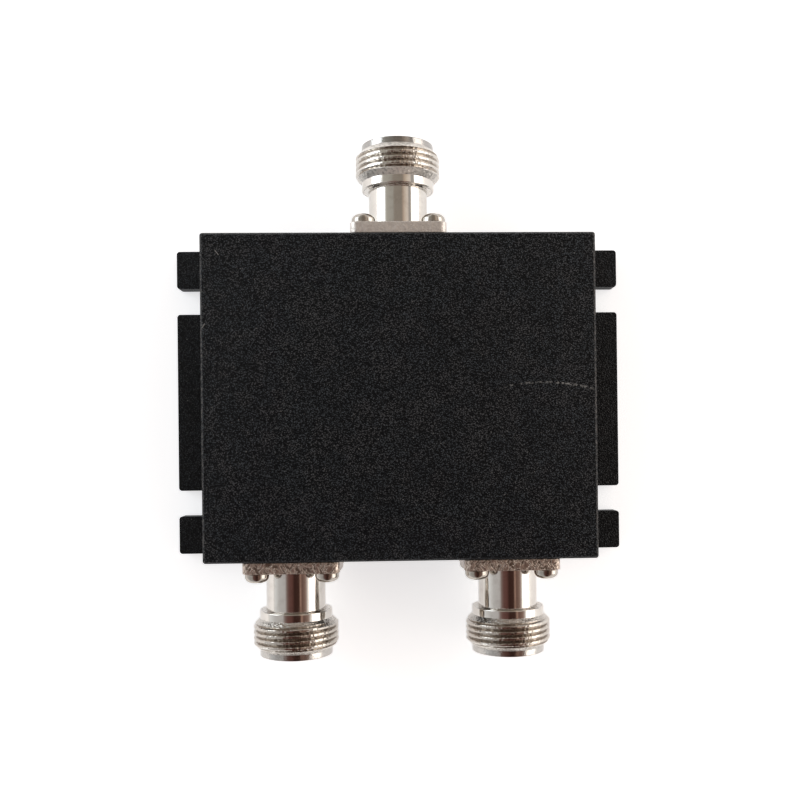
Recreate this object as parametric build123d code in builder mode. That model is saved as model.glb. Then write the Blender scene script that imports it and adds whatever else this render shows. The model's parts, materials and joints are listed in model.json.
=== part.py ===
from build123d import *
from math import sqrt
import os

# RF power splitter: a flat milled box with one coaxial input and two coaxial outputs.
# The origin is the centre of the back face. +Z comes out of the plain front, +Y points
# to the input and -Y to the two outputs. All sizes are in millimetres.

# Housing
body_width = 71.0
body_length = 59.0
body_corner = 0.5            # upright corners
front_edge = 0.4             # chamfer round the front face
wall = 6.0
pocket_corner = 3.0          # left by the end mill
tapped_floor = 1.5           # metal left at the blind end of a hole in a wall

# Mounting ears, one along each side and flush with the back
ear_reach = 7.75
ear_thickness = 3.2
ear_corner = 0.6
slot_width = 5.0
slot_setback = 9.8           # from the ends of the ears to the middle of a slot
slot_web = 0.4               # between the round end of a slot and the side wall

# Back cover in its recess, held by countersunk screws
cover_thickness = 1.2
cover_border = 1.6           # housing rim round the recess
cover_corner = 2.0
cover_screw_edge = 0.2       # cover left outside a countersink
cover_screw_setback = 6.8    # from the ends of the cover
cover_screw_diameter = 2.0
cover_screw_length = 5.0
cover_screw_head = 3.8
cover_screw_sink = 0.05      # head below the back face

# Coaxial sockets, measured from the housing wall along their axes
output_setback = 15.5        # from the side walls to the axis of an output
flange_size = 17.5
flange_thickness = 2.13
flange_corner = 1.3
flange_border = 0.75         # housing left in front of and behind a flange
flange_hole_spacing = 12.7
mouth_height = 18.2
thread_diameter = 15.875
thread_length = 3.55
relief_diameter = 13.6       # lip in front of the thread and collar behind it
lip_length = 1.15
collar_length = 1.48
barrel_diameter = 11.08
mouth_bore_diameter = 8.13
mouth_bore_depth = 9.15
line_bore_diameter = 7.0

# Centre contact and its insulator
contact_diameter = 3.04
contact_recess = 4.2         # tip below the mouth
contact_seat = 0.5           # insulator left behind the contact's shoulder
socket_diameter = 1.65
socket_depth = 5.4
socket_slot_length = 5.0
socket_slot_width = 0.25
tail_diameter = 1.27
tail_reach = 3.5             # into the housing, past the inside of the wall
insulator_recess = 0.45      # below the bottom of the mouth bore
insulator_tail_diameter = 4.2

# Flange screws
flange_screw_diameter = 2.5
flange_screw_head = 4.4
flange_screw_head_height = 1.8

# Circuit board, bonded to the floor of the pocket, and its copper track
board_thickness = 1.5
track_thickness = 0.07
track_margin = 0.3           # bare board outside the ends of the track
line_width = 2.9
line_mitre = 1.2
feed_length = 5.2
loop_width = 28.0
loop_straight = 3.4          # side of a loop between its mitres
loop_track_widths = (1.1, 1.7, 2.3)
link_length = 2.0            # between one loop and the next
link_width = 1.2
link_gap = 1.0               # between the two arms of the track

# Isolation resistors and solder joints
resistor_length = 2.0
resistor_width = 1.25
resistor_height = 0.45
resistor_cap_length = 0.35
resistor_cap_lip = 0.05      # end cap proud of the ceramic
solder_film = 0.05           # under the contact's tail
solder_height = 0.9
solder_overhang = 0.4        # past the end of the tail
solder_edge = 0.15           # track left outside the solder
solder_slope = 30.0

# Fits
fit_gap = 0.02               # pressed pieces, each side
bore_gap = 0.05              # insulator in the housing wall, each side
thread_gap = 0.05            # screw in its tapped hole, each side
screw_gap = 0.15             # screw in its clearance hole, each side
cover_gap = 0.1              # cover in its recess, each side
board_gap = 0.2              # board in the pocket, each side
tip_gap = 0.6                # under the tip of a screw

# Heights above the back face
body_height = flange_size + 2 * flange_border
axis_height = body_height / 2
track_height = axis_height + tail_diameter / 2 + solder_film
board_height = track_height + track_thickness
floor_height = board_height + board_thickness

# Levels along a socket's axis
thread_chamfer = (thread_diameter - relief_diameter) / 2
thread_top = mouth_height - lip_length - thread_chamfer
thread_bottom = thread_top - thread_length
collar_top = thread_bottom - thread_chamfer
collar_bottom = collar_top - collar_length
mouth_floor = mouth_height - mouth_bore_depth
insulator_top = mouth_floor - insulator_recess
contact_top = mouth_height - contact_recess
contact_shoulder = flange_thickness + contact_seat
tail_end = -wall - tail_reach

# Radii of the fits
insulator_hole = insulator_tail_diameter / 2 + fit_gap
contact_hole = contact_diameter / 2 + fit_gap
tail_hole = tail_diameter / 2 + fit_gap

# Screws of the flanges: as long as the wall lets them be
flange_tap_depth = wall - tapped_floor
flange_screw_length = flange_thickness + flange_tap_depth - tip_gap

# Where the three sockets stand, each plane facing out of the housing
output_spacing = body_width - 2 * output_setback
end_wall = body_length / 2
ports = {
    "input": Plane((0, end_wall, axis_height), (1, 0, 0), (0, 1, 0)),
    "output_left": Plane((-output_spacing / 2, -end_wall, axis_height), (1, 0, 0), (0, -1, 0)),
    "output_right": Plane((output_spacing / 2, -end_wall, axis_height), (1, 0, 0), (0, -1, 0)),
}


def facing_back(x, y, height):
    """A plane at the given height that faces the back, as a screw head seats on."""
    return Plane((x, y, height), (1, 0, 0), (0, 0, -1))


# Back cover and the seats of its screws, two on each side wall
cover_width = body_width - 2 * (cover_border + cover_gap)
cover_length = body_length - 2 * (cover_border + cover_gap)
cover_screw_inset = cover_screw_edge + cover_screw_sink + cover_screw_head / 2 + screw_gap
cover_side = cover_width / 2 - cover_screw_inset
cover_end = cover_length / 2 - cover_screw_setback
cover_screw_seats = [
    facing_back(x, y, 0) for x in (-cover_side, cover_side) for y in (-cover_end, cover_end)
]

board_width = body_width - 2 * (wall + board_gap)
board_length = body_length - 2 * (wall + board_gap)

# Layout of the track: a feed, three loops with a link under each, and the output lines
loop_count = len(loop_track_widths)
track_top = board_length / 2 - track_margin
output_side = (output_spacing + line_width) / 2
output_top = -track_top + line_width + line_mitre
loops_top = track_top - feed_length
loops_room = loops_top - output_top
loop_length = loops_room / loop_count - link_length
loop_mitre = (loop_length - loop_straight) / 2
loop_pitch = loop_length + link_length
loop_centres = [loops_top - loop_length / 2 - index * loop_pitch for index in range(loop_count)]
link_centres = [centre - loop_pitch / 2 for centre in loop_centres]


def mitred_rectangle(width, length, mitre, mode=Mode.ADD):
    """A rectangle with its four corners cut at 45 degrees, for a sketch."""
    side, end = width / 2, length / 2
    Polygon(
        (side, mitre - end),
        (side, end - mitre),
        (side - mitre, end),
        (mitre - side, end),
        (-side, end - mitre),
        (-side, mitre - end),
        (mitre - side, -end),
        (side - mitre, -end),
        mode=mode,
    )


def track_loop(width, length, track_width):
    """A ring of track, as wide across its mitred corners as along its sides."""
    inner_width, inner_length = width - 2 * track_width, length - 2 * track_width
    inner_mitre = loop_mitre - track_width * (2 - sqrt(2))
    mitred_rectangle(width, length, loop_mitre)
    mitred_rectangle(inner_width, inner_length, inner_mitre, mode=Mode.SUBTRACT)


def save(part, name):
    """Name a finished piece and write it."""
    part.label = name
    export_step(part, f"parts/{name}.step")


os.makedirs("parts", exist_ok=True)

# Housing: the box and its ears
with BuildPart() as housing:
    with BuildSketch():
        RectangleRounded(body_width, body_length, body_corner)
    extrude(amount=body_height)
    chamfer(housing.faces().sort_by(Axis.Z)[-1].edges(), front_edge)
    with BuildSketch():
        Rectangle(body_width + 2 * ear_reach, body_length)
    extrude(amount=ear_thickness)

    # Open slots in the ears
    slot_run = ear_reach - slot_web + slot_width
    slot_place = body_width / 2 + slot_web + slot_run / 2
    slot_spacing = body_length - 2 * slot_setback
    with BuildSketch():
        with GridLocations(2 * slot_place, slot_spacing, 2, 2):
            SlotOverall(slot_run, slot_width)
    extrude(amount=ear_thickness, mode=Mode.SUBTRACT)
    upright_edges = housing.edges().filter_by(Axis.Z).group_by(Axis.X)
    fillet(upright_edges[0] + upright_edges[-1], ear_corner)

    # Pocket for the circuit and the recess for its cover
    with BuildSketch():
        RectangleRounded(body_width - 2 * wall, body_length - 2 * wall, pocket_corner)
    extrude(amount=floor_height, mode=Mode.SUBTRACT)
    with BuildSketch():
        RectangleRounded(
            body_width - 2 * cover_border,
            body_length - 2 * cover_border,
            cover_corner + cover_gap,
        )
    extrude(amount=cover_thickness, mode=Mode.SUBTRACT)

    # Way in for each insulator, and the tapped holes
    with Locations(*ports.values()):
        Hole(insulator_tail_diameter / 2 + bore_gap, depth=wall)
        with GridLocations(flange_hole_spacing, flange_hole_spacing, 2, 2):
            Hole(flange_screw_diameter / 2 + thread_gap, depth=flange_tap_depth)
    with Locations(*cover_screw_seats):
        Hole(cover_screw_diameter / 2 + thread_gap, depth=cover_screw_length + tip_gap)
save(housing.part, "housing")

with BuildPart() as back_cover:
    with BuildSketch():
        RectangleRounded(cover_width, cover_length, cover_corner)
    extrude(amount=cover_thickness)
    with Locations(*cover_screw_seats):
        CounterSinkHole(
            cover_screw_diameter / 2 + screw_gap,
            cover_screw_head / 2 + cover_screw_sink + screw_gap,
            depth=cover_thickness,
            counter_sink_angle=90,
        )
save(back_cover.part, "back_cover")

with BuildPart() as cover_screw:
    with Locations((0, 0, -cover_screw_sink)):
        Cone(
            cover_screw_diameter / 2,
            cover_screw_head / 2,
            (cover_screw_head - cover_screw_diameter) / 2,
            align=(Align.CENTER, Align.CENTER, Align.MAX),
        )
        Cylinder(
            cover_screw_diameter / 2,
            cover_screw_length - cover_screw_sink,
            align=(Align.CENTER, Align.CENTER, Align.MAX),
        )
with BuildPart() as cover_screws:
    with Locations(*cover_screw_seats):
        add(cover_screw.part)
save(cover_screws.part, "cover_screws")

with BuildPart() as circuit_board:
    with BuildSketch(Plane.XY.offset(board_height)):
        RectangleRounded(board_width, board_length, pocket_corner - board_gap)
    extrude(amount=board_thickness)
save(circuit_board.part, "circuit_board")

# Copper track: the signal comes in at the top, splits round three loops in a row and
# leaves on two lines that turn down to the outputs
with BuildPart() as divider_track:
    with BuildSketch(Plane.XY.offset(track_height)):
        with Locations((0, loops_top)):
            Rectangle(line_width, feed_length, align=(Align.CENTER, Align.MIN))
        for centre, track_width in zip(loop_centres, loop_track_widths):
            with Locations((0, centre)):
                track_loop(loop_width, loop_length, track_width)
        for centre in link_centres:
            with Locations((0, centre)):
                Rectangle(link_gap + 2 * link_width, link_length)
        Polygon(
            (output_side, -track_top),
            (output_side, output_top - line_mitre),
            (output_side - line_mitre, output_top),
            (line_mitre - output_side, output_top),
            (-output_side, output_top - line_mitre),
            (-output_side, -track_top),
            align=None,
        )
        with Locations((0, -track_top)):
            Rectangle(
                output_spacing - line_width,
                output_top - line_width + track_top,
                align=(Align.CENTER, Align.MIN),
                mode=Mode.SUBTRACT,
            )
        with Locations((0, loop_centres[0])):
            Rectangle(
                link_gap,
                loop_centres[0] - output_top + 2 * line_width,
                align=(Align.CENTER, Align.MAX),
                mode=Mode.SUBTRACT,
            )
    extrude(amount=track_thickness)
save(divider_track.part, "divider_track")

# One chip resistor across the two arms under each loop
for number, centre in enumerate(link_centres, start=1):
    seat = facing_back(0, centre, track_height)
    with BuildPart() as resistor:
        with BuildSketch(seat):
            Rectangle(resistor_length, resistor_width)
        extrude(amount=resistor_height)
        with BuildSketch(seat):
            with GridLocations(resistor_length - resistor_cap_length, 0, 2, 1):
                Rectangle(resistor_cap_length, resistor_width)
        extrude(amount=resistor_height + resistor_cap_lip)
    save(resistor.part, f"isolation_resistor_{number}")

# Socket shell: a square flange and a turned barrel, bored through for the line
with BuildPart() as shell:
    with BuildSketch():
        RectangleRounded(flange_size, flange_size, flange_corner)
        Circle(insulator_hole, mode=Mode.SUBTRACT)
        with GridLocations(flange_hole_spacing, flange_hole_spacing, 2, 2):
            Circle(flange_screw_diameter / 2 + screw_gap, mode=Mode.SUBTRACT)
    extrude(amount=flange_thickness)
    with BuildSketch(Plane.XZ):
        with BuildLine():
            Polyline(
                (insulator_hole, 0),
                (barrel_diameter / 2, 0),
                (barrel_diameter / 2, collar_bottom),
                (relief_diameter / 2, collar_bottom),
                (relief_diameter / 2, collar_top),
                (thread_diameter / 2, thread_bottom),
                (thread_diameter / 2, thread_top),
                (relief_diameter / 2, mouth_height - lip_length),
                (relief_diameter / 2, mouth_height),
                (mouth_bore_diameter / 2, mouth_height),
                (mouth_bore_diameter / 2, mouth_floor),
                (line_bore_diameter / 2, mouth_floor),
                (line_bore_diameter / 2, flange_thickness),
                (insulator_hole, flange_thickness),
                close=True,
            )
        make_face()
    revolve(axis=Axis.Z)

# Insulator: fills the line bore and runs back through the flange and the housing wall
with BuildPart() as insulator:
    with BuildSketch(Plane.XZ):
        with BuildLine():
            Polyline(
                (tail_hole, -wall),
                (insulator_tail_diameter / 2, -wall),
                (insulator_tail_diameter / 2, flange_thickness),
                (line_bore_diameter / 2 - fit_gap, flange_thickness),
                (line_bore_diameter / 2 - fit_gap, insulator_top),
                (contact_hole, insulator_top),
                (contact_hole, contact_shoulder),
                (tail_hole, contact_shoulder),
                close=True,
            )
        make_face()
    revolve(axis=Axis.Z)

# Centre contact: a slotted socket in front and a thin tail behind
with BuildPart() as contact:
    with BuildSketch(Plane.XZ):
        with BuildLine():
            Polyline(
                (0, tail_end),
                (tail_diameter / 2, tail_end),
                (tail_diameter / 2, contact_shoulder),
                (contact_diameter / 2, contact_shoulder),
                (contact_diameter / 2, contact_top),
                (socket_diameter / 2, contact_top),
                (socket_diameter / 2, contact_top - socket_depth),
                (0, contact_top - socket_depth),
                close=True,
            )
        make_face()
    revolve(axis=Axis.Z)
    with BuildSketch(Plane.XY.offset(contact_top)):
        Rectangle(2 * contact_diameter, socket_slot_width)
        Rectangle(socket_slot_width, 2 * contact_diameter)
    extrude(amount=-socket_slot_length, mode=Mode.SUBTRACT)

with BuildPart() as flange_screws:
    with Locations((0, 0, flange_thickness)):
        with GridLocations(flange_hole_spacing, flange_hole_spacing, 2, 2):
            Cylinder(
                flange_screw_head / 2,
                flange_screw_head_height,
                align=(Align.CENTER, Align.CENTER, Align.MIN),
            )
            Cylinder(
                flange_screw_diameter / 2,
                flange_screw_length,
                align=(Align.CENTER, Align.CENTER, Align.MAX),
            )

socket_pieces = {
    "shell": shell.part,
    "insulator": insulator.part,
    "contact": contact.part,
    "screws": flange_screws.part,
}
for port_name, port in ports.items():
    for piece_name, piece in socket_pieces.items():
        with BuildPart(port) as placed:
            add(piece)
        save(placed.part, f"{port_name}_{piece_name}")

# Solder round the end of each tail, on the track
with BuildPart() as solder_joints:
    for port in ports.values():
        inward = -1 if port.origin.Y > 0 else 1
        solder_end = port.origin.Y + inward * (wall + tail_reach + solder_overhang)
        solder_start = port.origin.Y + inward * (wall + board_gap + track_margin + solder_edge)
        with BuildSketch(facing_back(port.origin.X, (solder_start + solder_end) / 2, track_height)):
            Rectangle(line_width - 2 * solder_edge, abs(solder_end - solder_start))
        extrude(amount=solder_height, taper=solder_slope)
    with Locations(*ports.values()):
        add(contact.part, mode=Mode.SUBTRACT)
save(solder_joints.part, "solder_joints")
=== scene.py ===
import json
from math import atan2, ceil, cos, pi, radians, sin

import bmesh
import bpy
from bpy.props import FloatProperty, FloatVectorProperty, IntProperty, PointerProperty
from mathutils import Matrix, Vector


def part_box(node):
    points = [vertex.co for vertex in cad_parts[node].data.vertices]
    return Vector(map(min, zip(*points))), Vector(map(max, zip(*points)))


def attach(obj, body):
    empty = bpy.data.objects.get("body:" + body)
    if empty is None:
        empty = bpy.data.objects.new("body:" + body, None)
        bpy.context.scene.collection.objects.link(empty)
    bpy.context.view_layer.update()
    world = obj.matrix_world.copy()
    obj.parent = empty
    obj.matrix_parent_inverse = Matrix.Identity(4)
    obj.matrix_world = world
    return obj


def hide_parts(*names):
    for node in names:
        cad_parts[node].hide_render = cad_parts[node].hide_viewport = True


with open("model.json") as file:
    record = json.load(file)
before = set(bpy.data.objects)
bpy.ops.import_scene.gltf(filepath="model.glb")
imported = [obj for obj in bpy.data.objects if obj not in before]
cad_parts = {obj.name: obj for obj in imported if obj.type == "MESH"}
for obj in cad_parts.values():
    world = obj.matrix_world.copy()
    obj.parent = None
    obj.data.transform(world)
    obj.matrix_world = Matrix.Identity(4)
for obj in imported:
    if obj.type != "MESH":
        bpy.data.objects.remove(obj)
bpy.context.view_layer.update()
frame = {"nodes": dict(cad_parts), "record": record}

# An RF power splitter on a white table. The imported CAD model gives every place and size.
# This script gives the case its sand-textured paint, the sockets their threads and plating
# and the screws their heads, and sets the studio. Lengths are in metres.

bl_info = {
    "name": "RF power splitter",
    "version": (1, 0, 0),
    "blender": (4, 5, 0),
    "location": "3D View > Sidebar > Splitter",
    "description": "Finishes the packed power splitter and sets its studio",
    "category": "Object",
}

mm = 0.001
TOUCHING = 0.001 * mm  # points this near to each other are one
PORTS = ("input", "output_left", "output_right")
RESISTORS = ("isolation_resistor_1", "isolation_resistor_2", "isolation_resistor_3")

# What the number "groove" says on a turned shell. It is 0 on the plain steps.
CONE = 0.2  # on the cones at the ends of the thread
FLANK = 0.35  # on the crests of the thread, and from there up to 1 down in its groove
# The corner behind the collar gets a painted shadow through the next number
SHADED_CORNER = 0.9  # in the corner behind the collar


def number(name, description, default, **more):
    """A property for a number."""
    return FloatProperty(name=name, description=description, default=default, **more)


def numbers(name, description, default, **more):
    """A property for several numbers."""
    return FloatVectorProperty(
        name=name, description=description, default=default, size=len(default), **more
    )


def length(name, description, millimetres):
    """A property for a length, given in millimetres and kept in metres."""
    return number(name, description, millimetres * mm, unit="LENGTH", precision=5)


def share(name, description, default):
    """A property for a share between nothing and all."""
    return number(name, description, default, min=0, max=1, subtype="FACTOR")


def position(name, description, default):
    """A property for a place."""
    return numbers(
        name, description, default, unit="LENGTH", subtype="TRANSLATION", precision=5
    )


def colour(name, description, default):
    """A property for a colour."""
    return numbers(name, description, default, min=0, max=1, subtype="COLOR")


def sides_count(name, description, default):
    """A property for the number of sides of a round form."""
    return IntProperty(name=name, description=description, default=default, min=12, max=256)


class CaseLook(bpy.types.PropertyGroup):
    """Edges and paint of the housing and its cover."""

    edge: length("Edge", "Rounding of the outer edges of the housing", 0.09)
    cover_edge: length("Cover edge", "Rounding of the edges of the back cover", 0.1)
    paint: colour("Paint", "Colour of the black paint", (0.0004, 0.0014, 0.0027))
    grain: colour("Grain", "Colour on top of the grains of sand", (0.055, 0.0635, 0.073))
    warm_grain: colour("Warm grain", "The same where the paint is browner", (0.061, 0.063, 0.068))
    # The speck colour paints glints on a few grains of the sand
    painted_glint: colour("Speck", "Colour of the few bright grains", (0.21, 0.207, 0.2))
    # The worn edge colour is rubbed paint and a painted highlight on the side edges of the front
    worn: colour("Worn edge", "Colour where the paint has rubbed thin", (0.115, 0.105, 0.099))
    grain_size: length("Grain size", "Width of a grain of the paint", 0.27)
    grain_height: length("Grain height", "Height of the grains of the paint", 0.2)


class SocketLook(bpy.types.PropertyGroup):
    """Form and plating of the three coaxial sockets, from the housing wall outwards."""

    flange: length("Flange", "Thickness of the square flange", 2.13)
    flange_edge: length("Flange edge", "Rounding of the edges of the flange", 0.2)
    barrel: length("Barrel", "Radius of the plain barrel", 5.54)
    collar: length("Collar", "Length of the collar behind the thread", 1.48)
    core: length("Core", "Radius of the collar and of the lip at the mouth", 6.8)
    pitch: length("Pitch", "Pitch of the coupling thread, 24 turns to an inch", 25.4 / 24)
    groove: length("Groove", "Depth of the coupling thread", 0.58)
    step_edge: length("Step edge", "Rounding of the edges of the turned steps", 0.16)
    mouth: length("Mouth", "Radius of the bore at the mouth", 4.065)
    mouth_depth: length("Mouth depth", "Depth of the bore at the mouth", 9.15)
    line: length("Line", "Radius of the bore round the insulator", 3.5)
    contact_edge: length("Contact edge", "Rounding of the edges of the centre contact", 0.05)
    nickel: colour("Nickel", "Colour of the bright plating", (0.69, 0.655, 0.61))
    dull_nickel: colour("Dull nickel", "Colour where it is smudged", (0.57, 0.53, 0.485))
    cut_nickel: colour("Cut nickel", "Colour of the rough thread", (0.47, 0.42, 0.37))
    # The rim colour darkens the lip of the mouth in patches and spots the input's cones
    rim_nickel: colour("Rim nickel", "Colour of the worn lip of the mouth", (0.37, 0.355, 0.34))
    # The input's cones are painted pale with this colour, as painted light
    cone_nickel: colour("Cone nickel", "Colour of the cones of the input", (0.84, 0.80, 0.75))
    # The dirt colour is real dirt and painted shade deep in the thread, and a painted shadow behind
    # the collar
    dirt_and_shade: colour("Dirt", "Colour of the dirt in the thread", (0.20, 0.16, 0.13))
    # The two flange colours paint the input's flange lighter and the outputs' darker: painted light
    # and shade
    input_flange: colour("Clean flange", "Colour of the input's flange", (0.74, 0.69, 0.65))
    output_flange: colour("Old flange", "Colour of the outputs' flanges", (0.60, 0.50, 0.435))
    marks: colour("Marks", "Colour of the short marks on the flanges", (0.17, 0.13, 0.10))
    sides: sides_count("Sides", "Sides of the turned parts", 128)


class ScrewLook(bpy.types.PropertyGroup):
    """Heads of the flange screws and of the cover screws."""

    pan_height: length("Pan height", "Height of the domed head of a flange screw", 1.8)
    pan_rim: length("Pan rim", "Height of the upright rim of a domed head", 0.6)
    flange_thread: length("Flange screw", "Diameter of the flange screws", 2.5)
    cover_thread: length("Cover screw", "Diameter of the cover screws", 2.0)
    cross_span: share("Cross span", "Span of the cross recess, as a share of the head", 0.56)
    cross_width: share("Cross width", "Width of a wing of the cross, as a share of the head", 0.16)
    cross_depth: length("Cross depth", "Depth of the cross recess", 0.9)
    edge: length("Edge", "Width of the soft edge under a domed head", 0.12)
    cover_edge: length("Cover edge", "Depth of the soft edge of a countersunk head", 0.06)
    sides: sides_count("Sides", "Sides of a screw, apart from the corners of its cross", 48)
    steel: colour("Steel", "Colour of the plated screws", (0.48, 0.44, 0.395))
    worn_steel: colour("Worn steel", "The same where it has worn", (0.3264, 0.2992, 0.2686))
    # The recess colour is painted shade down in the cross recess
    recess: colour("Recess", "Colour down in the cross recess", (0.10, 0.09, 0.08))


class InsideLook(bpy.types.PropertyGroup):
    """Colours of the centre contacts, the insulators and the circuit."""

    gold: colour("Gold", "Colour of the gold on the contacts", (0.91, 0.66, 0.30))
    rubbed_gold: colour("Rubbed gold", "The same where it has rubbed thin", (0.72, 0.50, 0.24))
    insulator: colour("Insulator", "Colour of the PTFE", (0.90, 0.90, 0.88))
    shaded_insulator: colour("Shaded insulator", "Its darker clouds", (0.83, 0.83, 0.81))
    resin: colour("Resin", "Colour of the board", (0.20, 0.27, 0.10))
    weave: colour("Weave", "Colour of the glass that shows through it", (0.34, 0.40, 0.18))
    copper: colour("Copper", "Colour of the track", (0.82, 0.48, 0.31))
    tarnish: colour("Tarnish", "The same where it has tarnished", (0.50, 0.26, 0.16))
    glaze: colour("Glaze", "Colour of the resistors", (0.012, 0.012, 0.014))
    pale_glaze: colour("Pale glaze", "Colour of the spots in the glaze", (0.03, 0.03, 0.035))
    tin: colour("Tin", "Colour of their end caps", (0.74, 0.74, 0.72))
    grey_tin: colour("Grey tin", "Colour of the spots in the tin", (0.60, 0.60, 0.58))
    solder: colour("Solder", "Colour of the solder", (0.72, 0.72, 0.71))
    frosted_solder: colour("Frosted solder", "The same where it set last", (0.55, 0.55, 0.54))


class Studio(bpy.types.PropertyGroup):
    """Camera, lamps and surroundings."""

    eye: position("Camera", "Where the camera is", (-0.001366, -0.00842, 0.176407))
    turn: numbers(
        "Turn", "How far the camera is turned from looking straight down",
        (radians(0.222), radians(-1.9666), radians(-0.6432)), subtype="EULER",
    )
    lens: number("Lens", "Focal length in millimetres", 39.59, unit="CAMERA")
    sensor: number("Sensor", "Width of the sensor in millimetres", 36, unit="CAMERA")
    shift: numbers(
        "Shift", "Shift of the picture, as a share of its width", (-0.0294, 0.0502), precision=4
    )
    right_place: position("Right place", "Where the lamp on the right is", (0.47, 0.03, 0.17))
    right_width: length("Right width", "Width of the lamp on the right", 600)
    right_lamp: number("Right lamp", "Power of the lamp on the right", 1.0, unit="POWER")
    right_tint: colour("Right tint", "Colour of the lamp on the right", (1.0, 0.93, 0.85))
    left_place: position("Left place", "Where the lamp on the left is", (-0.47, 0.2, 0.17))
    left_width: length("Left width", "Width of the lamp on the left", 320)
    left_lamp: number("Left lamp", "Power of the lamp on the left", 0.85, unit="POWER")
    left_tint: colour("Left tint", "Colour of the lamp on the left", (0.84, 0.94, 1.0))
    lamp_height: length("Lamp height", "Height of both lamps", 300)
    surroundings: number("Surroundings", "Brightness of the walls round the table", 1.5, min=0)
    horizon: colour("Horizon", "Colour low on the walls", (0.62, 0.61, 0.60))
    table: colour("Table", "Colour of the white table", (0.86, 0.86, 0.86))
    table_glow: colour("Table glow", "Light that shows it as white", (0.63, 0.635, 0.645))
    table_width: length("Table width", "Width of the table", 1600)


class Value:
    """A number in a material. An expression of such numbers adds its Math nodes."""

    def __init__(self, nodes, socket):
        self.nodes = nodes
        self.socket = socket

    def __add__(self, other):
        return self.nodes.maths("ADD", self, other)

    def __sub__(self, other):
        return self.nodes.maths("SUBTRACT", self, other)

    def __mul__(self, other):
        return self.nodes.maths("MULTIPLY", self, other)

    def __truediv__(self, other):
        return self.nodes.maths("DIVIDE", self, other)

    def __abs__(self):
        return self.nodes.maths("ABSOLUTE", self)

    def __radd__(self, other):
        return self.nodes.maths("ADD", other, self)

    def __rsub__(self, other):
        return self.nodes.maths("SUBTRACT", other, self)

    def __rmul__(self, other):
        return self.nodes.maths("MULTIPLY", other, self)

    def __rtruediv__(self, other):
        return self.nodes.maths("DIVIDE", other, self)


class Nodes:
    """Adds the nodes of one material or world."""

    def __init__(self, owner):
        owner.use_nodes = True
        owner.node_tree.nodes.clear()
        self.owner = owner
        self.tree = owner.node_tree

    def add(self, kind, settings, inputs, output=0):
        """A node with its settings made first, then its inputs. Returns one of its outputs."""
        node = self.tree.nodes.new(kind)
        for name, value in settings.items():
            if name == "stops":
                self.set_stops(node.color_ramp, value)
            else:
                setattr(node, name, value)
        by_identifier = {socket.identifier: socket for socket in node.inputs}
        for name, value in inputs.items():
            socket = by_identifier[name] if name in by_identifier else node.inputs[name]
            if isinstance(value, Value):
                self.tree.links.new(value.socket, socket)
            elif socket.type == "RGBA":
                socket.default_value = (*value, 1)
            else:
                socket.default_value = value
        for socket in node.outputs:
            if output in (socket.identifier, socket.name):
                return Value(self, socket)
        return Value(self, node.outputs[output]) if node.outputs else None

    def set_stops(self, ramp, stops):
        """The stops of a colour ramp, from a list of places and colours."""
        while len(ramp.elements) < len(stops):
            ramp.elements.new(1)
        for element, (place, shade) in zip(ramp.elements, stops):
            element.position = place
            element.color = (*shade, 1)

    def maths(self, operation, *values):
        """A Math node, as the operators of Value use."""
        return self.add("ShaderNodeMath", {"operation": operation}, dict(enumerate(values)))

    def facing(self):
        """How far the surface faces up: 1 on a level top, 0 on an upright wall."""
        geometry = self.add("ShaderNodeNewGeometry", {}, {}, "True Normal")
        return self.parts(geometry)[2]

    def carried(self, name):
        """A number that the mesh carries under a name."""
        return self.add("ShaderNodeAttribute", {"attribute_name": name}, {}, "Fac")

    def parts(self, vector):
        """The three numbers of a vector."""
        first = self.add("ShaderNodeSeparateXYZ", {}, {"Vector": vector})
        return [Value(self, socket) for socket in first.socket.node.outputs]

    def scaled(self, vector, scale):
        """A vector times three numbers."""
        return self.add("ShaderNodeVectorMath", {"operation": "MULTIPLY"}, {0: vector, 1: scale})

    def noise(self, vector, size, detail=2.0, rough=0.5):
        """Noise between 0 and 1 with features of the given size."""
        return self.add(
            "ShaderNodeTexNoise", {},
            {"Vector": vector, "Scale": 1 / size, "Detail": detail, "Roughness": rough},
        )

    def cells(self, vector, size):
        """Distance from scattered points that lie the given size apart, as a share of it."""
        inputs = {"Vector": vector, "Scale": 1 / size}
        return self.add("ShaderNodeTexVoronoi", {}, inputs, "Distance")

    def step(self, value, start, end):
        """A smooth step from 0 at start to 1 at end."""
        return self.add(
            "ShaderNodeMapRange", {"interpolation_type": "SMOOTHSTEP"},
            {"Value": value, "From Min": start, "From Max": end},
        )

    def mix(self, factor, first, second):
        """A colour between two."""
        return self.add(
            "ShaderNodeMix", {"data_type": "RGBA"},
            {"Factor_Float": factor, "A_Color": first, "B_Color": second}, "Result_Color",
        )

    def bump(self, height, distance, strength):
        """A bumpy surface from a height between 0 and 1."""
        inputs = {"Height": height, "Distance": distance, "Strength": strength}
        return self.add("ShaderNodeBump", {}, inputs)

    def surface(self, inputs, dull=None):
        """Ends a material with its surface shader. dull is the share that has no sheen."""
        shader = self.add("ShaderNodeBsdfPrincipled", {}, inputs)
        if dull is not None:
            flat = self.add("ShaderNodeBsdfPrincipled", {}, {
                "Base Color": inputs["Base Color"], "Roughness": 1.0, "Specular IOR Level": 0.0,
            })
            shader = self.add("ShaderNodeMixShader", {}, {0: dull, 1: shader, 2: flat})
        self.add("ShaderNodeOutputMaterial", {}, {"Surface": shader})
        return self.owner


def new_material(name):
    """The builder of the nodes of a new material, and the place on the surface, in metres."""
    nodes = Nodes(bpy.data.materials.new(name))
    return nodes, nodes.add("ShaderNodeTexCoord", {}, {}, "Object")


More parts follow.
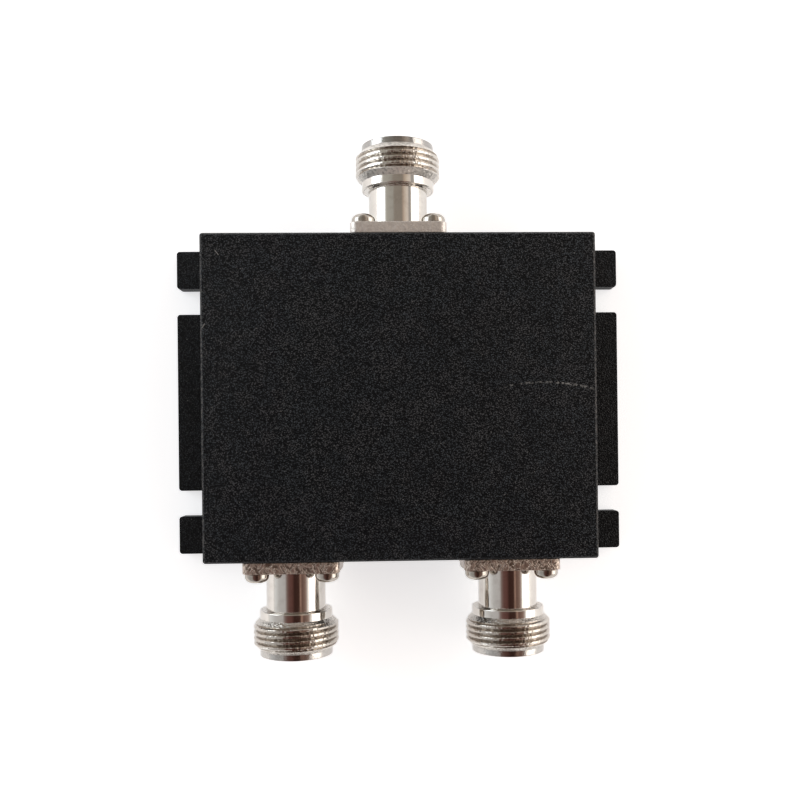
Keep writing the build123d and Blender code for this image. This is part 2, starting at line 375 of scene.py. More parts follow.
def black_paint(look):
    """Black paint with fine sand in it and a few painted glints, rubbed thin and painted with a
    highlight along two edges of the front, where there are also a light scuff and two scratches."""
    nodes, place = new_material("black_paint")
    x, y, z = nodes.parts(place)
    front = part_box("housing")[1].z

    # The grains, with less light on their tops on the walls and down on the ears
    cells = nodes.cells(place, look.grain_size)
    grains = nodes.noise(place, look.grain_size, 1.5, 0.6) * 0.5 + (1 - cells) * 0.5
    upright = nodes.step(nodes.facing(), 0.7, 0.3)
    tops = nodes.step(grains, 0.5, 0.66) * (nodes.step(z, 4 * mm, 6 * mm) * 0.5 + 0.5)
    tops = tops * (1 - upright * 0.45)
    # A few grains of the sand are painted bright as glints
    few = nodes.step(nodes.noise(place, 0.9 * mm), 0.44, 0.66)
    painted_glints = nodes.step(nodes.cells(place, 0.9 * mm), 0.17, 0.06) * few
    # Rubbed paint on the sloping side edges of the front, with a painted highlight there as well
    edge = nodes.carried("edge")
    rubbed = edge * nodes.step(nodes.noise(place, 0.55 * mm, 3, 0.7), 0.43, 0.64)

    # The scuff runs in a low arc to the right-hand edge of the front, in dots that close up there
    centre_x, centre_y, reach, sag = 25.8 * mm, 2.35 * mm, 9.7 * mm, 1.5 * mm
    along = (x - centre_x) / reach
    off_line = abs(y - (centre_y - along * along * sag))
    late = nodes.step(along, 0.05, 0.35)
    dots = nodes.step(nodes.noise(place, 0.42 * mm, 3) + late * 0.07, 0.5, 0.58)
    dots = dots * (late * 0.4 + 0.6)
    scuff = nodes.step(off_line, 0.26 * mm, 0.1 * mm) * nodes.step(abs(along), 1, 0.8) * dots

    # Two short scratches near the left side of the front, each with its place and its slant
    for across, up, slant in ((-32.4 * mm, 25.9 * mm, -52), (-34.9 * mm, 12.8 * mm, 57)):
        ahead, aside = cos(radians(slant)), sin(radians(slant))
        run = (x - across) * ahead + (y - up) * aside
        off = (y - up) * ahead - (x - across) * aside
        line = nodes.step(abs(off), 0.11 * mm, 0.04 * mm)
        line = line * nodes.step(abs(run), 0.7 * mm, 0.35 * mm)
        scuff = nodes.maths("MAXIMUM", scuff, line)
    scuff = scuff * nodes.step(z, front - 0.1 * mm, front)

    # The sand is lighter in clouds, and painted lighter towards the input as painted light
    clouds = nodes.noise(place, 9 * mm, 3)
    patches = nodes.step(nodes.noise(place, 3.5 * mm, 3), 0.42, 0.6)
    grain = nodes.mix(patches, look.grain, look.warm_grain)
    light = tops * (clouds * 0.5 + patches * 0.25 + y * 3.5 + 0.6)
    sand = nodes.mix(light, look.paint, grain)
    marked = nodes.mix(painted_glints * 0.6 + scuff * 0.95, sand, look.painted_glint)
    return nodes.surface({
        "Base Color": nodes.mix(rubbed, marked, look.worn),
        "Roughness": 0.34 - tops * 0.08,
        "Specular IOR Level": 0.22,
        "Normal": nodes.bump(grains, look.grain_height, 0.8),
    }, nodes.maths("MAXIMUM", upright * 0.5, edge * 0.8))


def toward_outputs(nodes, y):
    """How far a place along the part lies towards the outputs: 0 on the input, 1 on the outputs. By
    it the plating is painted paler on the input and darker and browner on the outputs, as painted
    light and shade.
    """
    return nodes.step(y, 10 * mm, -10 * mm)


def turned_nickel(look):
    """Bright nickel on turned brass, with fine rings round the axis and smudges. The thread is
    rough, with dirt and painted shade deep in it and a painted shadow behind the collar, the lip of
    the mouth is darker, and the cones of the input are painted pale as painted light."""
    nodes, place = new_material("turned_nickel")
    y = nodes.parts(place)[1]
    outputs_share = toward_outputs(nodes, y)
    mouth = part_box("input_shell")[1].y
    rim = nodes.step(abs(y), mouth - 1.3 * mm, mouth - 1.1 * mm)
    groove = nodes.carried("groove")
    cut = nodes.step(groove, 0, CONE - 0.02)
    cone = cut * nodes.step(groove, FLANK - 0.02, CONE + 0.02)
    # The input's cones are painted pale, as painted light
    pale = cone * (1 - outputs_share)

    # What the surface looks like from close by
    rings = nodes.noise(nodes.scaled(place, (0.06, 1, 0.06)), 0.09 * mm, 3, 0.6)
    dull = nodes.step(nodes.noise(place, 2.2 * mm, 4, 0.6), 0.45, 0.7)
    nicks = nodes.noise(place, 0.4 * mm, 3, 0.6)
    dents = nodes.noise(place, 0.55 * mm, 1)
    spots = nodes.step(nodes.noise(place, 0.5 * mm, 2), 0.48, 0.64)
    caught = nodes.step(nodes.noise(place, 0.5 * mm, 3), 0.25, 0.6)
    # Dirt deep in the thread, partly real dirt and partly painted shade, and a painted shadow in
    # the corner behind the collar
    dirt_and_shade = nodes.step(groove, FLANK + 0.05, 1) * caught * (outputs_share * 0.5 + 0.2)

    plating = nodes.mix(dull * 0.55, look.nickel, look.dull_nickel)
    rough = cut * (nicks * 0.8 + 0.3) * (outputs_share * 0.6 + 0.4) - cone * 0.5
    plating = nodes.mix(rough, plating, look.cut_nickel)
    # The lip of the mouth is darker in patches
    plating = nodes.mix(rim * (nicks + 0.45 - outputs_share * 0.35), plating, look.rim_nickel)
    plating = nodes.mix(pale, plating, look.cone_nickel)
    plating = nodes.mix(pale * spots * 0.6, plating, look.rim_nickel)
    roughness = 0.06 + dull * 0.06 + rings * 0.04 + (cut + rim) * nicks * 0.06
    height = rings * 0.03 + cut * dents * 1.2 + (cone + rim * 0.25) * nicks * 1.2
    return nodes.surface({
        "Base Color": nodes.mix(dirt_and_shade * 0.7, plating, look.dirt_and_shade),
        "Metallic": 1.0,
        "Roughness": roughness + cone * (0.32 - outputs_share * 0.22) + dirt_and_shade * 0.1,
        "Normal": nodes.bump(height, 0.15 * mm, 0.7),
    })


def flange_nickel(look):
    """Dull nickel on the tumbled sides of a flange: mottled, with short marks at two slants."""
    nodes, place = new_material("flange_nickel")
    strokes = []
    for slant in (-38, 33):
        turned = nodes.add("ShaderNodeMapping", {"vector_type": "TEXTURE"}, {
            "Vector": place, "Rotation": (0, 0, radians(slant)), "Scale": (1, 3.5, 1),
        })
        strokes.append(nodes.step(nodes.noise(turned, 0.36 * mm, 2), 0.5, 0.61))
    outputs_share = toward_outputs(nodes, nodes.parts(place)[1])
    marks = nodes.maths("MAXIMUM", *strokes) * (outputs_share * 0.85 + 0.15)
    mottle = nodes.noise(place, 0.8 * mm, 3, 0.6)
    # The input's flange is painted paler and the outputs' darker and browner, as painted light and
    # shade
    plain = nodes.mix(outputs_share, look.input_flange, look.output_flange)
    return nodes.surface({
        "Base Color": nodes.mix(marks * 0.7, plain, look.marks),
        "Metallic": 1.0,
        "Roughness": 0.46 - outputs_share * 0.2 + mottle * 0.1,
        "Normal": nodes.bump(mottle - marks * 0.35, 0.16 * mm, 0.8),
    })


def screw_steel(look):
    """Plated steel of the screws, scratched and worn, with painted shade down in the recess."""
    nodes, place = new_material("screw_steel")
    scratches = nodes.noise(nodes.scaled(place, (1, 1, 0.2)), 0.16 * mm, 3)
    # Painted shade down in the cross recess
    recess = nodes.carried("groove")
    worn = nodes.step(nodes.noise(place, 0.9 * mm, 3), 0.42, 0.66)
    plating = nodes.mix(worn * 0.5, look.steel, look.worn_steel)
    return nodes.surface({
        "Base Color": nodes.mix(recess * 0.7, plating, look.recess),
        "Metallic": 1.0,
        "Roughness": 0.12 + scratches * 0.1 + recess * 0.3,
        "Normal": nodes.bump(scratches, 0.01 * mm, 0.5),
    })


def gold_plate(look):
    """Gold on the centre contacts, a little rubbed."""
    nodes, place = new_material("gold_plate")
    rings = nodes.noise(nodes.scaled(place, (0.1, 1, 0.1)), 0.08 * mm, 2)
    rubbed = nodes.step(nodes.noise(place, 0.7 * mm, 3), 0.45, 0.7)
    return nodes.surface({
        "Base Color": nodes.mix(rubbed * 0.6, look.gold, look.rubbed_gold),
        "Metallic": 1.0,
        "Roughness": 0.2 + rings * 0.12,
        "Normal": nodes.bump(rings, 0.004 * mm, 0.5),
    })


def white_insulator(look):
    """White PTFE with the marks of turning."""
    nodes, place = new_material("ptfe")
    rings = nodes.noise(nodes.scaled(place, (1, 0.2, 1)), 0.2 * mm, 2)
    clouds = nodes.noise(place, 1.5 * mm, 3)
    return nodes.surface({
        "Base Color": nodes.mix(clouds, look.shaded_insulator, look.insulator),
        "Roughness": 0.42 + rings * 0.15,
        "Subsurface Weight": 0.12,
        "Subsurface Scale": 0.6 * mm,
        "Normal": nodes.bump(rings, 0.01 * mm, 0.5),
    })


def board_laminate(look):
    """Glass-filled laminate: the weave shows through a pale green resin."""
    nodes, place = new_material("board")
    x, y = nodes.parts(place)[:2]
    thread = 2 * pi / (0.9 * mm)
    weave = nodes.maths("SINE", x * thread) * nodes.maths("SINE", y * thread)
    blend = weave * 0.3 + nodes.noise(place, 0.6 * mm) * 0.7
    return nodes.surface({
        "Base Color": nodes.mix(blend, look.resin, look.weave),
        "Roughness": 0.45 + blend * 0.2,
        "Normal": nodes.bump(blend, 0.02 * mm, 0.5),
    })


def etched_copper(look):
    """Bare copper of the track, with darker patches where it has tarnished."""
    nodes, place = new_material("copper")
    tarnish = nodes.step(nodes.noise(place, 2.5 * mm, 4), 0.42, 0.68)
    fine = nodes.noise(place, 0.15 * mm, 2)
    return nodes.surface({
        "Base Color": nodes.mix(tarnish, look.copper, look.tarnish),
        "Metallic": 1.0,
        "Roughness": 0.28 + fine * 0.12 + tarnish * 0.12,
        "Normal": nodes.bump(fine, 0.005 * mm, 0.5),
    })


def chip_ceramic(look):
    """Chip resistors: a dark glaze between two tinned end caps."""
    nodes, place = new_material("ceramic")
    x = nodes.parts(place)[0]
    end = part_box(RESISTORS[0])[1].x
    cap = nodes.step(abs(x), end - 0.37 * mm, end - 0.33 * mm)
    spots = nodes.noise(place, 0.2 * mm, 3)
    glaze = nodes.mix(spots, look.glaze, look.pale_glaze)
    tin = nodes.mix(spots, look.grey_tin, look.tin)
    return nodes.surface({
        "Base Color": nodes.mix(cap, glaze, tin),
        "Metallic": cap,
        "Roughness": 0.22 + spots * 0.2,
        "Normal": nodes.bump(spots, 0.01 * mm, 0.4),
    })


def tin_solder(look):
    """Solder, smooth where it flowed and frosted where it set last."""
    nodes, place = new_material("solder")
    frost = nodes.step(nodes.noise(place, 0.8 * mm, 4), 0.45, 0.65)
    grain = nodes.noise(place, 0.1 * mm, 2)
    return nodes.surface({
        "Base Color": nodes.mix(frost, look.solder, look.frosted_solder),
        "Metallic": 1.0,
        "Roughness": 0.16 + frost * 0.28,
        "Normal": nodes.bump(grain * frost, 0.008 * mm, 0.5),
    })


def cad_shape(node, into=Matrix()):
    """A CAD node's mesh as a bmesh, moved by a matrix, its split corners joined again."""
    source = frame["nodes"][node].data
    shape = bmesh.new()
    corners = [shape.verts.new(into @ vertex.co) for vertex in source.vertices]
    for polygon in source.polygons:
        shape.faces.new([corners[index] for index in polygon.vertices])
    bmesh.ops.remove_doubles(shape, verts=shape.verts, dist=TOUCHING)
    return shape


def solids_in(node):
    """The box of each separate solid of a CAD node, in a fixed order."""
    shape = cad_shape(node)
    left = set(shape.verts)
    boxes = []
    while left:
        found = [left.pop()]
        for vertex in found:
            near = {edge.other_vert(vertex) for edge in vertex.link_edges} & left
            left -= near
            found.extend(near)
        low = Vector(min(vertex.co[axis] for vertex in found) for axis in range(3))
        high = Vector(max(vertex.co[axis] for vertex in found) for axis in range(3))
        boxes.append((low, high))
    shape.free()
    return sorted(boxes, key=lambda box: tuple(round(value, 6) for value in box[0]))


def soften(shape, width, chosen):
    """Joins the flat faces of a bmesh and rounds those of its sharp edges that are chosen."""
    flat, sharp = radians(1), radians(30)
    bmesh.ops.dissolve_limit(shape, angle_limit=flat, verts=shape.verts, edges=shape.edges)
    rims = [
        edge for edge in shape.edges
        if len(edge.link_faces) == 2 and edge.calc_face_angle() > sharp and chosen(edge)
    ]
    bmesh.ops.bevel(
        shape, geom=rims, offset=width, offset_type="OFFSET", segments=3, profile=0.5,
        affect="EDGES", clamp_overlap=False, loop_slide=False,
    )
    bmesh.ops.dissolve_degenerate(shape, edges=shape.edges, dist=TOUCHING)


def rounded(outline, reach):
    """An outline of (radius, height) with its inner corners rounded by short curves."""
    points = [Vector(point) for point in outline]
    soft = [points[0]]
    parts = 4
    for before, corner, after in zip(points, points[1:], points[2:]):
        near = min(reach, (before - corner).length / 2, (after - corner).length / 2)
        start = corner + (before - corner).normalized() * near
        end = corner + (after - corner).normalized() * near
        for part in range(parts + 1):
            t = part / parts
            soft.append(start * (1 - t) ** 2 + corner * 2 * t * (1 - t) + end * t**2)
    soft.append(points[-1])
    return soft


def ring(radius, height, sides):
    """A level circle of points round the Z axis."""
    angles = [2 * pi * side / sides for side in range(sides)]
    return [Vector((radius * cos(angle), radius * sin(angle), height)) for angle in angles]


def skin(shape, rings, into=Matrix()):
    """Faces between rings of points, one after the other. A ring of one point closes the skin."""
    made = [[shape.verts.new(into @ point) for point in points] for points in rings]
    for near, far in zip(made, made[1:]):
        count = max(len(near), len(far))
        for index in range(count):
            after = (index + 1) % count
            corners = (
                near[index % len(near)], near[after % len(near)],
                far[after % len(far)], far[index % len(far)],
            )
            shape.faces.new(list(dict.fromkeys(corners)))
    return made


def add_piece(name, shape, finishes, slot, *stands_for):
    """A piece of the scene from a bmesh, shown in place of CAD nodes."""
    bmesh.ops.recalc_face_normals(shape, faces=shape.faces)
    data = bpy.data.meshes.new(name)
    shape.to_mesh(data)
    shape.free()
    data.shade_smooth()
    data.set_sharp_from_angle(angle=radians(32))
    for finish in finishes:
        data.materials.append(finish)
    piece = bpy.data.objects.new(name, data)
    bpy.context.scene.collection.objects.link(piece)
    flatter = piece.modifiers.new("flat_faces_stay_flat", "WEIGHTED_NORMAL")
    flatter.keep_sharp = True
    flatter.weight = 70
    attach(piece, "root")
    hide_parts(*stands_for)


def finish_nodes(finish, *nodes):
    """Gives CAD nodes a finish in place of their plain one."""
    for node in nodes:
        for slot in frame["nodes"][node].material_slots:
            slot.material = finish


def thread_mount(port):
    """The record's mount for the coupling thread of a socket."""
    return next(mount for mount in frame["record"]["mounts"] if mount["name"] == f"{port}_thread")


def port_matrix(port):
    """From a socket's own frame, with Z outwards from the housing wall, to the part's."""
    outward = Vector(thread_mount(port)["axis"])
    low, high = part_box(f"{port}_shell")
    wall = (low + high) / 2 - outward * abs((high - low).dot(outward)) / 2
    sideways = Vector((1, 0, 0))
    turn = Matrix((sideways, outward.cross(sideways), outward)).transposed()
    return Matrix.Translation(wall) @ turn.to_4x4()


def cut_thread(shape, look, low, high, crest):
    """A helical thread between two levels. At both ends a cone cuts it back to the core."""

    # One turn of its outline: places along the pitch, and how far they rise from root to crest
    form = (
        (-0.50, 0), (-0.44, 0.07), (-0.36, 0.42), (-0.29, 0.78), (-0.20, 0.96), (-0.10, 1),
        (0.10, 1), (0.20, 0.96), (0.29, 0.78), (0.36, 0.42), (0.44, 0.07),
    )
    pitch, sides = look.pitch, look.sides
    turns = range(-1, ceil((high - low) / pitch) + 1)
    rows = [(low + (turn + place) * pitch, rise) for turn in turns for place, rise in form]
    groove = shape.verts.layers.float.new("groove")
    columns = []
    for side in range(sides):
        angle = 2 * pi * side / sides
        column = []
        for start, rise in rows:
            level = min(max(start + pitch * side / sides, low), high)
            cone = look.core + min(level - low, high - level)
            radius = min(crest - look.groove * (1 - rise), cone)
            corner = shape.verts.new((radius * cos(angle), radius * sin(angle), level))
            deep = max(0, min(1, (cone - radius) / look.groove)) * (1 - rise)
            on_cone = cone < crest - 0.02 * mm and not deep
            corner[groove] = CONE if on_cone else FLANK + (1 - FLANK) * deep
            column.append(corner)
        columns.append(column)
    turned = columns[0][len(form):]
    for near, far in zip(columns, columns[1:] + [turned]):
        for index in range(min(len(near), len(far)) - 1):
            shape.faces.new((near[index], far[index], far[index + 1], near[index + 1]))


def socket_shell(port, look, finishes):
    """The shell of a socket: the flange of the CAD mesh, and its turned part with the thread."""
    place = port_matrix(port)
    mount = thread_mount(port)
    centre = (place.inverted() @ Vector(mount["pos_m"])).z
    crest = mount["dims"]["r_mm"] * mm
    half = mount["dims"]["length_mm"] * mm / 2 + crest - look.core
    low, high = centre - half, centre + half
    box_low, box_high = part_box(f"{port}_shell")
    mouth = (box_high - box_low).y
    width = (box_high - box_low).x

    # The flange, with the outline and the holes that the CAD gives it
    shape = cad_shape(f"{port}_shell", place.inverted())
    above = look.flange + 10 * TOUCHING
    turned = [face for face in shape.faces if max(end.co.z for end in face.verts) > above]
    bmesh.ops.delete(shape, geom=turned, context="FACES")
    rim = width / 2 - 0.45 * mm  # the edges further out are its outline, the others its holes
    soften(
        shape, look.flange_edge,
        lambda edge: all(max(abs(end.co.x), abs(end.co.y)) > rim for end in edge.verts),
    )
    for face in shape.faces:
        face.material_index = 1

    # The turned part: barrel and collar, then the thread, then the lip and the bores
    cut_thread(shape, look, low, high, crest)
    shoulder = low - look.collar
    sharp = 0.04 * mm  # the short step that keeps the ends of the thread sharp
    behind = rounded([
        (look.barrel + look.step_edge, look.flange),
        (look.barrel, look.flange + look.step_edge),
        (look.barrel, shoulder - 2 * look.step_edge),
        (look.barrel, shoulder),
        (look.core, shoulder),
        (look.core, low - sharp),
        (look.core, low),
    ], look.step_edge)
    ahead = rounded([
        (look.core, high),
        (look.core, high + sharp),
        (look.core, mouth),
        (look.mouth, mouth),
        (look.mouth, mouth - look.mouth_depth),
        (look.line, mouth - look.mouth_depth),
        (look.line, look.flange + 5 * TOUCHING),
    ], look.step_edge)
    groove = shape.verts.layers.float["groove"]
    for corners in skin(shape, [ring(*step, look.sides) for step in behind]):
        radius, height = corners[0].co.x, corners[0].co.z
        # The corner behind the collar is marked for a painted shadow
        if radius < look.core - 0.3 * mm and abs(height - shoulder) < 0.8 * look.step_edge:
            for corner in corners:
                corner[groove] = SHADED_CORNER
    skin(shape, [ring(*step, look.sides) for step in ahead])
    bmesh.ops.remove_doubles(shape, verts=shape.verts, dist=2 * TOUCHING)
    bmesh.ops.dissolve_degenerate(shape, edges=shape.edges, dist=TOUCHING)

    # Close the seams between the flange and the turned part, outside and in the bore
    middle = (look.barrel + look.line) / 2
    seams = [edge for edge in shape.edges if edge.is_boundary]
    for inside in (False, True):
        seam = [edge for edge in seams if (edge.verts[0].co.xy.length < middle) == inside]
        bmesh.ops.bridge_loops(shape, edges=seam)
    bmesh.ops.transform(shape, matrix=place, verts=shape.verts)
    add_piece(f"{port}_threaded_shell", shape, finishes, "nickel_plate", f"{port}_shell")


def cross_reach(angle, span, width):
    """How far a cross of half span and half width reaches from its centre at an angle."""
    tiny = 1e-9
    across, up = abs(cos(angle)) + tiny, abs(sin(angle)) + tiny
    return max(min(span / across, width / up), min(width / across, span / up))


def screw(shape, look, into, head, head_top, shank, tip, dome, seat):
    """A cross-recessed screw along Z. dome gives the height of the head at a distance from its
    centre, and seat the outline of the head from its edge down to the shank."""
    groove = shape.verts.layers.float.get("groove") or shape.verts.layers.float.new("groove")
    span, width = head * look.cross_span, head * look.cross_width
    corner = atan2(width, span)
    turns = [2 * pi * side / look.sides for side in range(look.sides)]
    for quarter in range(4):
        turns += [pi / 2 * quarter + corner, pi / 2 * (quarter + 1) - corner]
    angles = sorted({round(turn, 6) for turn in turns})

    def loop(radii, heights):
        return [
            Vector((radius * cos(angle), radius * sin(angle), height))
            for angle, radius, height in zip(angles, radii, heights)
        ]

    mouth = [cross_reach(angle, span, width) for angle in angles]
    floor = head_top - look.cross_depth
    rings = [[Vector((0, 0, floor - 0.25 * look.cross_depth))]]
    rings.append(loop([0.7 * radius for radius in mouth], [floor] * len(angles)))
    parts = 8
    for part in range(parts + 1):
        out = sin(part / parts * pi / 2)
        radii = [radius + (head - radius) * out for radius in mouth]
        rings.append(loop(radii, [dome(radius) for radius in radii]))
    for radius, height in [*seat, (shank, tip)]:
        rings.append(loop([radius] * len(angles), [height] * len(angles)))
    rings.append([Vector((0, 0, tip))])
    made = skin(shape, rings, into)
    # The floor of the cross recess is marked for its painted shade
    for vertex in made[0] + made[1]:
        vertex[groove] = 1


class SPLITTER_OT_case(bpy.types.Operator):
    """Gives the housing and the back cover soft edges and their sand-textured black paint"""

    bl_idname = "splitter.case"
    bl_label = "Case"

    def execute(self, context):
        look = context.scene.splitter_case
        paint = black_paint(look)
        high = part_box("housing")[1]
        cover_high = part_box("back_cover")[1]

        def outside(edge):
            """True but for the edges of the pocket and of the holes in the end walls."""
            x, y, z = (edge.verts[0].co + edge.verts[1].co) / 2
            if z > high.z - mm:
                return True
            in_pocket = abs(x) < cover_high.x - mm and abs(y) < cover_high.y + 0.4 * mm
            between_sides = abs(x) <= cover_high.x + 0.3 * mm
            on_end_wall = abs(y) > high.y - 0.01 * mm and 1.5 * mm < z < high.z - 1.5 * mm
            return not in_pocket and not (on_end_wall and between_sides)

        housing = cad_shape("housing")
        soften(housing, look.edge, outside)
        housing.normal_update()

        # The slopes round the front carry how far they face sideways, for the rubbed paint and its
        # painted highlight
        edge = housing.faces.layers.float.new("edge")
        for face in housing.faces:
            if 0.1 < face.normal.z < 0.97 and face.calc_center_median().z > high.z - mm:
                face[edge] = abs(face.normal.x)
        add_piece("painted_housing", housing, [paint], "black_paint", "housing")
        cover = cad_shape("back_cover")
        soften(cover, look.cover_edge, lambda edge: True)
        add_piece("painted_cover", cover, [paint], "black_paint", "back_cover")
        return {"FINISHED"}


class SPLITTER_OT_shells(bpy.types.Operator):
    """Turns the three socket shells, with their coupling threads and nickel plating"""

    bl_idname = "splitter.shells"
    bl_label = "Socket shells"

    def execute(self, context):
        look = context.scene.splitter_sockets
        finishes = [turned_nickel(look), flange_nickel(look)]
        for port in PORTS:
            socket_shell(port, look, finishes)
        return {"FINISHED"}


class SPLITTER_OT_contacts(bpy.types.Operator):
    """Gives the centre contacts soft edges and gold, and the insulators their white PTFE"""

    bl_idname = "splitter.contacts"
    bl_label = "Contacts and insulators"

    def execute(self, context):
        look = context.scene.splitter_inside
        width = context.scene.splitter_sockets.contact_edge
        gold = gold_plate(look)
        for port in PORTS:
            shape = cad_shape(f"{port}_contact")
            soften(shape, width, lambda edge: edge.calc_face_angle() > radians(60))
            add_piece(f"{port}_gold_contact", shape, [gold], "gold_plate", f"{port}_contact")
        finish_nodes(white_insulator(look), *(f"{port}_insulator" for port in PORTS))
        return {"FINISHED"}


class SPLITTER_OT_flange_screws(bpy.types.Operator):
    """Makes the domed heads of the twelve flange screws, each turned its own way"""

    bl_idname = "splitter.flange_screws"
    bl_label = "Flange screws"

    def execute(self, context):
        look = context.scene.splitter_screws
        steel = screw_steel(look)
        shank = look.flange_thread / 2
        for number, port in enumerate(PORTS):
            shape = bmesh.new()
            facing = port_matrix(port).to_3x3().to_4x4()
            seat_level = port_matrix(port) @ Vector((0, 0, context.scene.splitter_sockets.flange))
            for count, (low, high) in enumerate(solids_in(f"{port}_screws")):
                head = (high.x - low.x) / 2
                place = Vector(((low.x + high.x) / 2, seat_level.y, (low.z + high.z) / 2))
                turn = Matrix.Rotation(radians(37 * count + 23 * number), 4, "Z")
                rise = look.pan_height - look.pan_rim

                def dome(radius, head=head, rise=rise):
                    return look.pan_rim + rise * max(0, 1 - (radius / head) ** 3) ** 0.5

                seat = [(head, look.edge), (head - look.edge, 0), (shank, 0)]
                tip = look.pan_height - (high.y - low.y)
                screw(
                    shape, look, Matrix.Translation(place) @ facing @ turn, head,
                    look.pan_height, shank, tip, dome, seat,
                )
            add_piece(f"{port}_pan_screws", shape, [steel], "screw_steel", f"{port}_screws")
        return {"FINISHED"}


class SPLITTER_OT_cover_screws(bpy.types.Operator):
    """Makes the countersunk heads of the four screws of the back cover"""

    bl_idname = "splitter.cover_screws"
    bl_label = "Cover screws"

    def execute(self, context):
        look = context.scene.splitter_screws
        steel = screw_steel(look)
        shape = bmesh.new()
        shank = look.cover_thread / 2
        for count, (low, high) in enumerate(solids_in("cover_screws")):
            head = (high.x - low.x) / 2
            place = Vector(((low.x + high.x) / 2, (low.y + high.y) / 2, low.z))
            facing = Matrix.Rotation(pi, 4, "X") @ Matrix.Rotation(radians(52 * count + 15), 4, "Z")

            def top(radius, rim=head - look.cover_edge / 2):
                return -look.cover_edge if radius > rim else 0

            seat = [(shank, shank - head)]
            screw(
                shape, look, Matrix.Translation(place) @ facing, head, 0, shank,
                low.z - high.z, top, seat,
            )
        add_piece("countersunk_cover_screws", shape, [steel], "screw_steel", "cover_screws")
        return {"FINISHED"}


class SPLITTER_OT_circuit(bpy.types.Operator):
    """Finishes the board, the copper track, the resistors and the solder inside the case"""

    bl_idname = "splitter.circuit"
    bl_label = "Circuit"

    def execute(self, context):
        look = context.scene.splitter_inside
        finish_nodes(board_laminate(look), "circuit_board")
        finish_nodes(etched_copper(look), "divider_track")
        finish_nodes(chip_ceramic(look), *RESISTORS)
        finish_nodes(tin_solder(look), "solder_joints")
        return {"FINISHED"}


def white_table(look):
    """A white table. It shows white behind the object and in its metal, and keeps a soft shadow."""
    nodes = Nodes(bpy.data.materials.new("white_table"))
    paths = [
        nodes.add("ShaderNodeLightPath", {}, {}, ray)
        for ray in ("Is Camera Ray", "Is Glossy Ray", "Is Transmission Ray")
    ]
    seen = nodes.maths("MINIMUM", paths[0] + paths[1] + paths[2], 1)
    top = nodes.add("ShaderNodeBsdfPrincipled", {}, {
        "Base Color": look.table,
        "Roughness": 0.8,
        "Specular IOR Level": 0.1,
        "Emission Color": nodes.mix(seen, (0, 0, 0), look.table_glow),
        "Emission Strength": 1.0,
    })
    clear = nodes.add("ShaderNodeBsdfTransparent", {}, {})
    below = nodes.add("ShaderNodeNewGeometry", {}, {}, "Backfacing")
    sided = nodes.add("ShaderNodeMixShader", {}, {0: below, 1: top, 2: clear})
    nodes.add("ShaderNodeOutputMaterial", {}, {"Surface": sided})
    return nodes.owner


def surroundings(look):
    """White walls to the left and right of the table, and a darker ceiling between them."""
    nodes = Nodes(bpy.data.worlds.new("studio"))
    direction = nodes.add("ShaderNodeTexCoord", {}, {}, "Generated")
    x, y, z = nodes.parts(direction)

    # Both ramps run from the left horizon over the top to the right horizon, near on the side of
    # the outputs and far on the side of the input
    across = nodes.maths("ARCTAN2", x, z) / pi + 0.5
    near = nodes.add("ShaderNodeValToRGB", {"stops": [
        (0.000, (0.60, 0.63, 0.66)),
        (0.055, (0.56, 0.57, 0.58)),
        (0.155, (0.40, 0.40, 0.40)),
        (0.295, (0.37, 0.36, 0.36)),
        (0.335, (0.165, 0.12, 0.11)),
        (0.380, (0.105, 0.054, 0.047)),
        (0.455, (0.085, 0.038, 0.032)),
        (0.500, (0.031, 0.014, 0.011)),
        (0.600, (0.040, 0.019, 0.015)),
        (0.628, (0.30, 0.19, 0.15)),
        (0.655, (0.105, 0.060, 0.048)),
        (0.720, (0.17, 0.11, 0.09)),
        (0.755, (0.27, 0.20, 0.17)),
        (0.790, (0.67, 0.65, 0.63)),
        (0.985, (0.72, 0.69, 0.67)),
        (1.000, (0.56, 0.54, 0.52)),
    ]}, {"Fac": across})
    far = nodes.add("ShaderNodeValToRGB", {"stops": [
        (0.000, (0.88, 0.91, 0.95)),
        (0.205, (0.86, 0.88, 0.90)),
        (0.240, (0.33, 0.32, 0.29)),
        (0.390, (0.29, 0.28, 0.255)),
        (0.425, (0.22, 0.195, 0.17)),
        (0.580, (0.21, 0.185, 0.16)),
        (0.610, (0.36, 0.285, 0.23)),
        (0.655, (0.50, 0.435, 0.37)),
        (0.715, (0.56, 0.50, 0.455)),
        (0.740, (0.27, 0.25, 0.235)),
        (0.780, (0.30, 0.29, 0.27)),
        (0.810, (0.87, 0.85, 0.83)),
        (0.985, (0.86, 0.83, 0.83)),
        (1.000, (0.54, 0.50, 0.50)),
    ]}, {"Fac": across})
    away = nodes.step(nodes.maths("ARCTAN2", y, z), radians(-4), radians(10))
    overhead = nodes.mix(away, near, far)
    raised = nodes.step(z, 0.02, 0.14)
    room = nodes.mix(raised, look.horizon, overhead)
    lit = nodes.add("ShaderNodeBackground", {}, {"Color": room, "Strength": look.surroundings})
    white = nodes.add("ShaderNodeBackground", {}, {"Color": (1, 1, 1), "Strength": 1.0})
    camera = nodes.add("ShaderNodeLightPath", {}, {}, "Is Camera Ray")
    shown = nodes.add("ShaderNodeMixShader", {}, {0: camera, 1: lit, 2: white})
    nodes.add("ShaderNodeOutputWorld", {}, {"Surface": shown})
    return nodes.owner


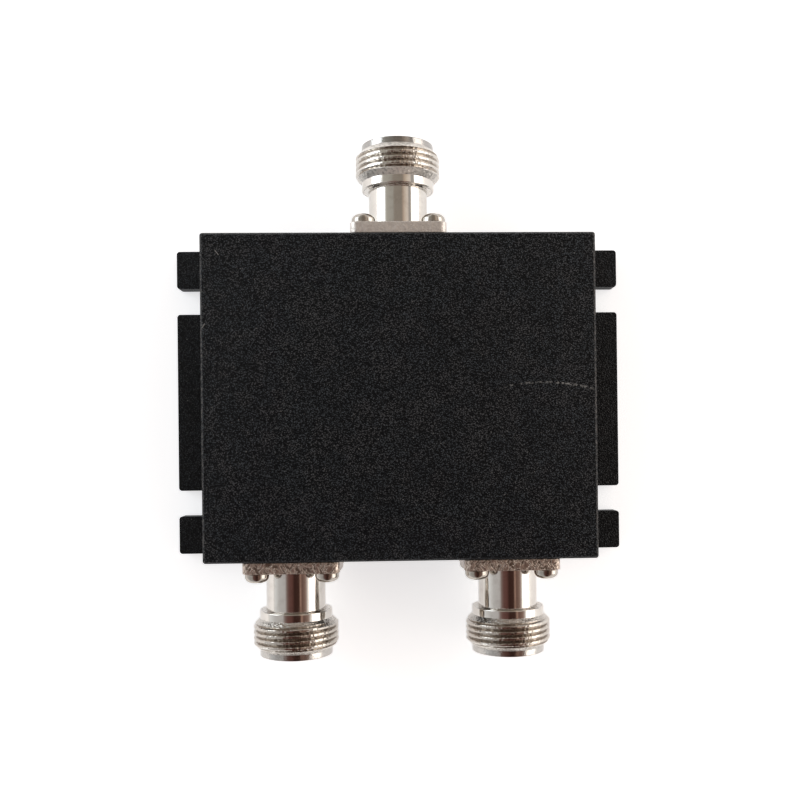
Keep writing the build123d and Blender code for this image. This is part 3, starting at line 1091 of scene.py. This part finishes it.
class SPLITTER_OT_stage(bpy.types.Operator):
    """Sets the white table, the surroundings, two soft lamps and the camera"""

    bl_idname = "splitter.stage"
    bl_label = "Stage"

    def execute(self, context):
        look = context.scene.splitter_studio
        half = look.table_width / 2
        corners = [(-half, -half, 0), (half, -half, 0), (half, half, 0), (-half, half, 0)]
        data = bpy.data.meshes.new("table")
        data.from_pydata(corners, [], [(0, 1, 2, 3)])
        data.materials.append(white_table(look))
        table = bpy.data.objects.new("table", data)
        context.scene.collection.objects.link(table)
        context.scene.world = surroundings(look)
        for side in ("right", "left"):
            self.add_lamp(side, look)

        camera = bpy.data.objects.new("camera", bpy.data.cameras.new("camera"))
        camera.location = look.eye
        camera.rotation_euler = look.turn
        camera.data.lens = look.lens
        camera.data.sensor_width = look.sensor
        camera.data.shift_x, camera.data.shift_y = look.shift
        camera.data.clip_start = 1 * mm
        context.scene.collection.objects.link(camera)
        context.scene.camera = camera
        context.scene.view_settings.view_transform = "Standard"
        return {"FINISHED"}

    def add_lamp(self, side, look):
        """A soft rectangular lamp on one side, which points at the object."""
        name = f"{side}_softbox"
        place = getattr(look, f"{side}_place")
        lamp = bpy.data.lights.new(name, "AREA")
        lamp.shape = "RECTANGLE"
        lamp.size, lamp.size_y = getattr(look, f"{side}_width"), look.lamp_height
        lamp.energy = getattr(look, f"{side}_lamp")
        lamp.color = getattr(look, f"{side}_tint")
        stand = bpy.data.objects.new(name, lamp)
        stand.location = place
        stand.rotation_euler = (-place).to_track_quat("-Z", "Y").to_euler()
        stand.visible_camera = False
        bpy.context.scene.collection.objects.link(stand)


STEPS = (
    SPLITTER_OT_case,
    SPLITTER_OT_shells,
    SPLITTER_OT_contacts,
    SPLITTER_OT_flange_screws,
    SPLITTER_OT_cover_screws,
    SPLITTER_OT_circuit,
    SPLITTER_OT_stage,
)
LOOKS = {
    "splitter_case": CaseLook,
    "splitter_sockets": SocketLook,
    "splitter_screws": ScrewLook,
    "splitter_inside": InsideLook,
    "splitter_studio": Studio,
}


class SPLITTER_PT_panel(bpy.types.Panel):
    """Lists the sizes, the colours and the steps of the splitter"""

    bl_idname = "SPLITTER_PT_panel"
    bl_label = "RF power splitter"
    bl_space_type = "VIEW_3D"
    bl_region_type = "UI"
    bl_category = "Splitter"

    def draw(self, context):
        for step in STEPS:
            self.layout.operator(step.bl_idname)
        for name, group in LOOKS.items():
            box = self.layout.box()
            for size in group.__annotations__:
                box.prop(getattr(context.scene, name), size)


def register():
    """Adds the classes and the properties to Blender."""
    for name, group in LOOKS.items():
        bpy.utils.register_class(group)
        setattr(bpy.types.Scene, name, PointerProperty(type=group))
    for kind in (*STEPS, SPLITTER_PT_panel):
        bpy.utils.register_class(kind)


def unregister():
    """Takes the classes and the properties out again."""
    for kind in (SPLITTER_PT_panel, *reversed(STEPS)):
        bpy.utils.unregister_class(kind)
    for name, group in reversed(LOOKS.items()):
        delattr(bpy.types.Scene, name)
        bpy.utils.unregister_class(group)


def main():
    """Makes every piece and the stage."""
    register()
    bpy.ops.splitter.case()
    bpy.ops.splitter.shells()
    bpy.ops.splitter.contacts()
    bpy.ops.splitter.flange_screws()
    bpy.ops.splitter.cover_screws()
    bpy.ops.splitter.circuit()
    bpy.ops.splitter.stage()


if __name__ == "__main__":
    main()
